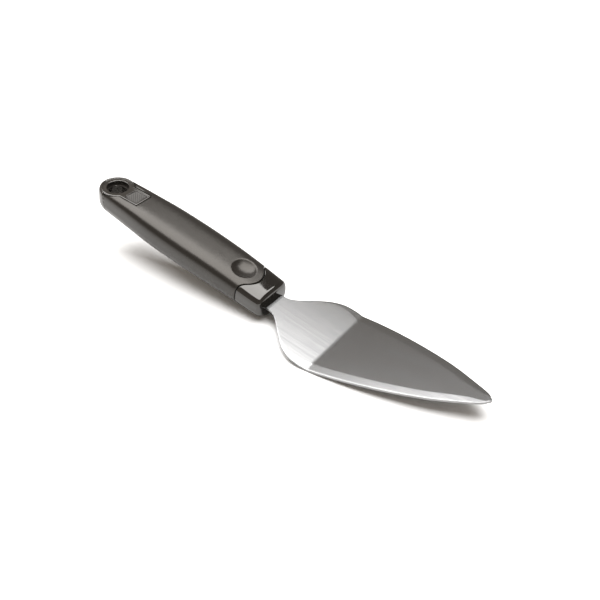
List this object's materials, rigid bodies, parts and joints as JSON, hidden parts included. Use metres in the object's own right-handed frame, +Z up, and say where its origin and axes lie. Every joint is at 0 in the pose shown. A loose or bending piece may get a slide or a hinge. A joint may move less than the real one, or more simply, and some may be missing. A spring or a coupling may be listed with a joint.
{
  "type": "cake server",
  "caption": "Cake server with a bent leaf-shaped steel blade, a soft dark handle with a thumb dimple, a gloss front cap and a hang hole through the end.",
  "frame": {"origin": "on the table under the middle of the server's bounding box, with the heel of the blade and the front cap resting on z = 0", "axes": "+X from the hang hole to the tip of the blade, +Y to the left of someone who looks from the handle to the tip, +Z up"},
  "size_m": [0.2657, 0.055, 0.042],
  "materials": {
    "blade_steel": "fine brushed stainless steel with a soft sheen",
    "pin_steel": "plain turned steel",
    "cap_gloss": "polished black plastic",
    "grip_soft": "satin soft-touch rubber with a fine grain",
    "eye_plastic": "semi-gloss dark plastic",
    "badge_plastic": "dark plastic with a fine raised pattern",
    "core_plastic": "plain moulded plastic, hidden inside the grip"
  },
  "bodies": {
    "root": {"blade": "blade_steel", "front_cap": "cap_gloss", "grip_sleeve": "grip_soft", "hang_eye_insert": "eye_plastic", "badge_inlay": "badge_plastic", "core_upper": "core_plastic", "core_lower": "core_plastic", "tang_pin_front": "pin_steel", "tang_pin_rear": "pin_steel"}
  },
  "joints": []
}
